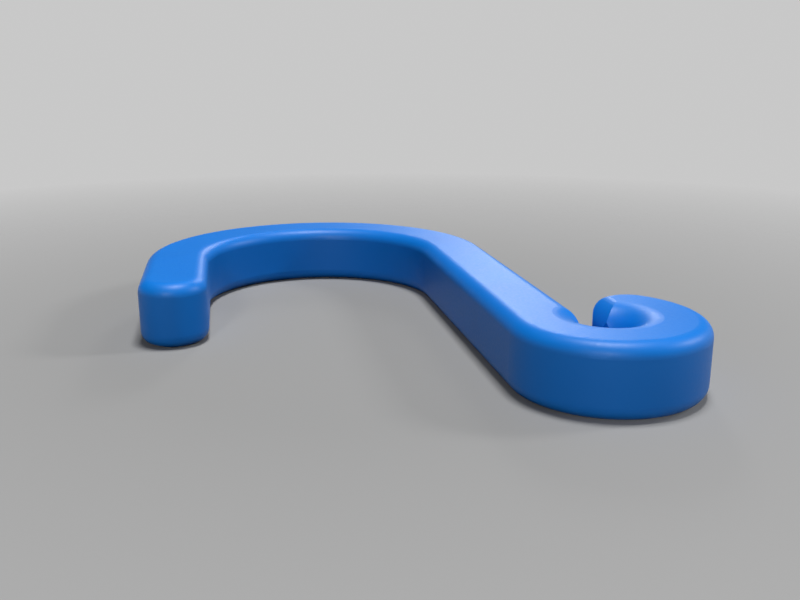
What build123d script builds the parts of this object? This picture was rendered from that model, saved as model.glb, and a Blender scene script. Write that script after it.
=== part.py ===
"""Multipurpose hook: a flat moulded bar, bent into a wide open hook and, at the other end, a tight eye."""
import os
from math import cos, radians

from build123d import *

os.makedirs("parts", exist_ok=True)

# Sizes in millimetres. X runs along the shank from the wide hook to the eye, Y across it, Z is up.
thickness = 9.75
bar_width = 10.1
edge_radius = 1.93

# Radii of the bar's middle line in the two bends, and the straight stretches between and before them.
wide_bend_radius = 23.8
eye_bend_radius = 7.95
shank_length = 47.6
tip_length = 16.4

# Angles of the two bends in degrees. The eye turns on until its round end almost closes on the shank.
wide_bend_angle = 180.0
eye_bend_angle = 222.2

# The throat of the eye is flared on both faces, so that a cord bends over a wide rounding.
throat_flare_share = 0.84

# The gap beside the round end runs in line with the shank. The end's edges there start like the rim and then
# ease over the wide rounding of the flare. The brow angle is the tilt at which one passes into the other.
gap_width = 3.96
brow_angle = 33.4

half_width = bar_width / 2
wide_outer_radius = wide_bend_radius + half_width
eye_outer_radius = eye_bend_radius + half_width
throat_radius = eye_bend_radius - half_width
flare_radius = throat_flare_share * thickness / 2
ease_height = edge_radius + (flare_radius - edge_radius) * cos(radians(brow_angle))

# The origin lies under the middle of the hook's outer box, on the face it rests on.
whole_length = wide_outer_radius + shank_length + eye_outer_radius
whole_width = wide_outer_radius + wide_bend_radius + eye_bend_radius + eye_outer_radius
wide_x = wide_outer_radius - whole_length / 2
wide_y = wide_outer_radius - whole_width / 2
tip_y = wide_y - wide_bend_radius
eye_x = wide_x + shank_length
eye_y = wide_y + wide_bend_radius + eye_bend_radius
gap_wall_y = eye_y - throat_radius + gap_width

with BuildPart() as hook:
    # The bar is as wide everywhere as along the shank, with a half round at each end.
    with BuildSketch() as outline:
        with BuildLine() as middle:
            tip = Line((wide_x + tip_length, tip_y), (wide_x, tip_y))
            wide_bend = JernArc(tip @ 1, tip % 1, wide_bend_radius, -wide_bend_angle)
            shank = Line(wide_bend @ 1, (eye_x, eye_y - eye_bend_radius))
            eye_bend = JernArc(shank @ 1, shank % 1, eye_bend_radius, eye_bend_angle)
            offset(amount=half_width, side=Side.BOTH)
        make_face()
    extrude(amount=thickness)

    # One rounding runs round the whole rim of both faces.
    fillet(hook.faces().filter_by(Axis.Z).edges(), radius=edge_radius)

    # The flare turns about the axis of the eye. It bites into the shank's edge and into the round end.
    with BuildSketch(Plane.XZ.offset(-eye_y)) as flare:
        with BuildLine():
            rim = Line((eye_x, thickness), (eye_x + throat_radius + flare_radius, thickness))
            curve = RadiusArc(rim @ 1, (eye_x + throat_radius, thickness - flare_radius), -flare_radius)
            floor = Line(curve @ 1, (eye_x, thickness - flare_radius))
            Line(floor @ 1, rim @ 0)
        make_face()
        mirror(about=Plane.XZ.offset(-thickness / 2))
    revolve(axis=Axis((eye_x, eye_y, 0), (0, 0, 1)), mode=Mode.SUBTRACT)

    # The gap starts inside the flare, trims the round end and stops at the shank. Its sketch stands upright
    # on the eye's axis, with X towards the shank.
    with BuildSketch(Plane((eye_x, gap_wall_y, 0), x_dir=(0, -1, 0), z_dir=(-1, 0, 0))) as gap:
        with BuildLine():
            wall = Line((0, thickness / 2), (0, thickness - ease_height))
            ease = JernArc(wall @ 1, wall % 1, flare_radius, 90 - brow_angle)
            brow = JernArc(ease @ 1, ease % 1, edge_radius, brow_angle)
            lid = Line(brow @ 1, (gap_width, thickness))
            side = Line(lid @ 1, (gap_width, thickness / 2))
            Line(side @ 1, wall @ 0)
        make_face()
        mirror(about=Plane.XZ.offset(-thickness / 2))
    extrude(amount=eye_outer_radius, mode=Mode.SUBTRACT)

hook.part.label = "hook"
export_step(hook.part, "parts/hook.step")
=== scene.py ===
# %% [markdown]
# # A moulded utility hook
#
# The real object is one piece of blue plastic about 89 mm long. A flat bar is bent into a wide open hook at
# one end and into a tight eye at the other. Its solid comes ready made from the CAD frame, in metres and
# lying on z = 0. This lesson gives it a finish, a floor to lie on, light and a camera.

import math

import bmesh
import bpy
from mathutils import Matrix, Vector

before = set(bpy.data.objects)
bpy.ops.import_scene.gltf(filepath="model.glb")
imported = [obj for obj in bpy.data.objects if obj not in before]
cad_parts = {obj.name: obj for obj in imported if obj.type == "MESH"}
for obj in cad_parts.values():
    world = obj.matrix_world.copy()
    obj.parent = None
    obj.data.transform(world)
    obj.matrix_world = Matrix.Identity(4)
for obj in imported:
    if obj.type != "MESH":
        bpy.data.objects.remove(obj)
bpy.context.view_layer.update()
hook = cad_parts["hook"]

# %% [markdown]
# ## Blue satin plastic
#
# The real surface is smooth and evenly coloured, and it mirrors lamps as broad soft lights. A picture could
# be wrapped round the part, but a few procedural nodes hold up at any distance and from every side. They
# read Object coordinates, which are metres on this part, so a noise of scale 1000 has waves of about a
# millimetre. The two helpers make a noise and stretch it over the range that a socket needs.

# %% Start the material
plastic = bpy.data.materials.new("blue_satin_plastic")
plastic.use_nodes = True
nodes = plastic.node_tree.nodes
links = plastic.node_tree.links
shader = nodes["Principled BSDF"]
place = nodes.new("ShaderNodeTexCoord")
# Nearly all values of a noise lie between these two.
noise_low = 0.3
noise_high = 0.7


def noise(name, scale, detail):
    """One noise texture, in waves per metre on the part."""
    node = nodes.new("ShaderNodeTexNoise")
    node.name = name
    node.inputs["Scale"].default_value = scale
    node.inputs["Detail"].default_value = detail
    links.new(place.outputs["Object"], node.inputs["Vector"])
    return node


def spread(source, low, high):
    """Turns a noise into a value between low and high."""
    node = nodes.new("ShaderNodeMapRange")
    node.inputs["From Min"].default_value = noise_low
    node.inputs["From Max"].default_value = noise_high
    node.inputs["To Min"].default_value = low
    node.inputs["To Max"].default_value = high
    links.new(source.outputs["Fac"], node.inputs["Value"])
    return node


print("material", plastic.name, "with", len(nodes), "nodes so far")

# %% [markdown]
# ## Pigment
#
# Dye is never mixed quite evenly into plastic. One flat colour would look like paint on a screen, so a slow
# noise, with patches about a centimetre across, moves the blue by a few percent. A ColorRamp holds its two
# ends, where they can be read as plain colours.

# %% Colour the plastic
deep_blue = (0.001, 0.212, 0.790, 1.0)
light_blue = (0.002, 0.228, 0.835, 1.0)
pigment = noise("pigment", scale=90.0, detail=2.0)
tint = nodes.new("ShaderNodeValToRGB")
tint.color_ramp.elements[0].position = noise_low
tint.color_ramp.elements[0].color = deep_blue
tint.color_ramp.elements[1].position = noise_high
tint.color_ramp.elements[1].color = light_blue
links.new(pigment.outputs["Fac"], tint.inputs["Fac"])
links.new(tint.outputs["Color"], shader.inputs["Base Color"])
print("blue from", deep_blue[:3], "to", light_blue[:3])

# %% [markdown]
# ## Mould skin
#
# A mould leaves a fine matte skin, with a grain of about 0.4 mm that is felt rather than seen. Real relief
# of that size would need millions of faces, so a bump of a few hundredths of a millimetre stands for it.
# The same noise varies the gloss, because both come from the same grain. The refractive index is that of a
# hard plastic, which gives the light lines along the roundings their strength.

# %% Give it a skin
skin = noise("mould_skin", scale=2600.0, detail=3.0)
gloss = spread(skin, low=0.42, high=0.50)
links.new(gloss.outputs["Result"], shader.inputs["Roughness"])
relief = nodes.new("ShaderNodeBump")
relief.inputs["Strength"].default_value = 0.12
relief.inputs["Distance"].default_value = 0.00003
links.new(skin.outputs["Fac"], relief.inputs["Height"])
links.new(relief.outputs["Normal"], shader.inputs["Normal"])
shader.inputs["IOR"].default_value = 1.46

for slot in hook.material_slots:
    slot.material = plastic
print("plastic on", len(hook.material_slots), "slot of the hook")

# %% [markdown]
# ## Floor
#
# The part lies on a plain pale floor. A big plane would do, but its hard edge would draw a line across the
# picture. A disc has the same rim on every side, and its paint can turn clear towards that rim and let the
# backdrop through. It lies a hair below the part, so that the two faces that meet there don't flicker
# through each other.

# %% Lay the floor
floor_radius = 0.25
floor_drop = 0.00002
floor_mesh = bpy.data.meshes.new("floor")
sheet = bmesh.new()
bmesh.ops.create_circle(sheet, cap_ends=True, segments=96, radius=floor_radius)
bmesh.ops.translate(sheet, verts=sheet.verts, vec=(0.0, 0.0, -floor_drop))
sheet.to_mesh(floor_mesh)
sheet.free()
floor = bpy.data.objects.new("floor", floor_mesh)
bpy.context.collection.objects.link(floor)
print("floor of radius", floor_radius, "m")

# %% [markdown]
# ## Floor paint
#
# The paint is an even matte grey. It has no gloss, because a glossy floor would mirror the lamps. A pale
# floor so close would also light the walls from below and wash out their shade. So the Light Path node
# shows the pale grey to the camera and in reflections, while the floor bounces light like a dark one.

# %% Paint the floor
floor_grey = 0.348
bounce_grey = 0.06
floor_paint = bpy.data.materials.new("pale_floor")
floor_paint.use_nodes = True
floor_nodes = floor_paint.node_tree.nodes
floor_links = floor_paint.node_tree.links
floor_shader = floor_nodes["Principled BSDF"]
floor_shader.inputs["Specular IOR Level"].default_value = 0.0
floor_path = floor_nodes.new("ShaderNodeLightPath")
seen = floor_path.outputs["Is Camera Ray"]
for kind in ("Is Glossy Ray", "Is Transmission Ray"):
    either = floor_nodes.new("ShaderNodeMath")
    either.operation = "MAXIMUM"
    floor_links.new(seen, either.inputs[0])
    floor_links.new(floor_path.outputs[kind], either.inputs[1])
    seen = either.outputs["Value"]
floor_tone = floor_nodes.new("ShaderNodeMapRange")
floor_tone.inputs["To Min"].default_value = bounce_grey
floor_tone.inputs["To Max"].default_value = floor_grey
floor_links.new(seen, floor_tone.inputs["Value"])
floor_links.new(floor_tone.outputs["Result"], floor_shader.inputs["Base Color"])
floor_mesh.materials.append(floor_paint)
print("floor grey", floor_grey, "seen and", bounce_grey, "bounced")

# %% [markdown]
# ## Floor fade
#
# The paint turns clear by a Mix Shader between it and Transparent. The factor is the length of the Object
# coordinate, which is the distance from the disc's middle, so the fade is round and the same from all sides.

# %% Fade the floor
fade_start = 0.04
fade_end = 0.21
floor_place = floor_nodes.new("ShaderNodeTexCoord")
floor_reach = floor_nodes.new("ShaderNodeVectorMath")
floor_reach.operation = "LENGTH"
floor_fade = floor_nodes.new("ShaderNodeMapRange")
floor_fade.inputs["From Min"].default_value = fade_start
floor_fade.inputs["From Max"].default_value = fade_end
clear = floor_nodes.new("ShaderNodeBsdfTransparent")
floor_mix = floor_nodes.new("ShaderNodeMixShader")
floor_links.new(floor_place.outputs["Object"], floor_reach.inputs[0])
floor_links.new(floor_reach.outputs["Value"], floor_fade.inputs["Value"])
floor_links.new(floor_fade.outputs["Result"], floor_mix.inputs["Fac"])
floor_links.new(floor_shader.outputs["BSDF"], floor_mix.inputs[1])
floor_links.new(clear.outputs["BSDF"], floor_mix.inputs[2])
floor_links.new(floor_mix.outputs["Shader"], floor_nodes["Material Output"].inputs["Surface"])
print("floor fades from", fade_start, "to", fade_end, "m")

# %% [markdown]
# ## Backdrop
#
# The backdrop is the world's own colour: pale from the floor up to just above the horizon, and dim overhead.
# A world that is pale all round would lay a haze on every top face. With a dim one the lamps do the work,
# and the blue keeps its depth.

# %% Paint the backdrop
horizon_grey = 0.58
overhead_grey = 0.01
# Heights on a sphere of radius 1 between which the pale band gives way to the dim sky.
band_top = 0.075
sky_start = 0.12
studio = bpy.data.worlds.new("studio")
bpy.context.scene.world = studio
studio.use_nodes = True
world_nodes = studio.node_tree.nodes
world_links = studio.node_tree.links
direction = world_nodes.new("ShaderNodeTexCoord")
split = world_nodes.new("ShaderNodeSeparateXYZ")
sky = world_nodes.new("ShaderNodeMapRange")
sky.interpolation_type = "SMOOTHSTEP"
sky.inputs["From Min"].default_value = band_top
sky.inputs["From Max"].default_value = sky_start
sky.inputs["To Min"].default_value = horizon_grey
sky.inputs["To Max"].default_value = overhead_grey
world_links.new(direction.outputs["Generated"], split.inputs["Vector"])
world_links.new(split.outputs["Z"], sky.inputs["Value"])
world_links.new(sky.outputs["Result"], world_nodes["Background"].inputs["Color"])
print("backdrop", horizon_grey, "at the horizon and", overhead_grey, "overhead")

# %% [markdown]
# ## Studio light
#
# Four soft boxes light the part. One big lamp would leave the walls flat or the top dull. The box overhead
# gives the top faces their full colour and keeps shadows faint. The one on the eye's side gives the shank
# its soft shadow. A low one behind the hook is mirrored in the top of the shank and makes the pale sheen
# there. A weaker one in front lifts the near walls and draws a light line along the near roundings. Together
# they keep the level plain, so that the blue renders about as it is written.

# %% Set the lamps


def soft_box(name, azimuth, elevation, distance, width, depth, watts):
    """An area lamp that faces the middle of the part. Azimuth 0 is +X and 90 is +Y."""
    data = bpy.data.lights.new(name, "AREA")
    data.shape = "RECTANGLE"
    data.size = width
    data.size_y = depth
    data.energy = watts
    lamp = bpy.data.objects.new(name, data)
    bpy.context.collection.objects.link(lamp)
    turn = math.radians(azimuth)
    tilt = math.radians(elevation)
    level = math.cos(tilt)
    lamp.location = distance * Vector((math.cos(turn) * level, math.sin(turn) * level, math.sin(tilt)))
    lamp.rotation_euler = (-lamp.location).to_track_quat("-Z", "Y").to_euler()
    lamp.visible_camera = False
    print(name, "at", [round(value, 3) for value in lamp.location], watts, "W")


soft_box("overhead_box", azimuth=90.0, elevation=86.0, distance=1.0, width=0.22, depth=0.22, watts=7.8)
soft_box("side_box", azimuth=91.0, elevation=30.0, distance=1.0, width=0.16, depth=0.16, watts=2.4)
soft_box("back_box", azimuth=160.5, elevation=24.0, distance=1.5, width=0.20, depth=0.26, watts=3.0)
soft_box("front_box", azimuth=-21.0, elevation=26.0, distance=1.0, width=0.16, depth=0.16, watts=2.2)

# %% [markdown]
# ## Camera
#
# The camera looks at the hook from the eye's end, a little to one side and 40 mm above the floor. It was not
# set by eye: its place, heading and lens were worked out from the perspective of the photograph, so that the
# near eye looms as large beside the far bend as it does there.

# %% Place the camera
camera_place = (0.131896, -0.023215, 0.040211)
heading = 168.7121
look_down = 14.9357
lens = bpy.data.cameras.new("view")
lens.sensor_width = 36.0
lens.lens = 39.375
lens.clip_start = 0.005
viewer = bpy.data.objects.new("view", lens)
bpy.context.collection.objects.link(viewer)
viewer.location = camera_place
viewer.rotation_euler = (math.radians(90.0 - look_down), 0.0, math.radians(heading - 90.0))
bpy.context.scene.camera = viewer
bpy.context.scene.view_settings.view_transform = "Standard"
print("camera at", camera_place, "heading", heading, "looking down", look_down)
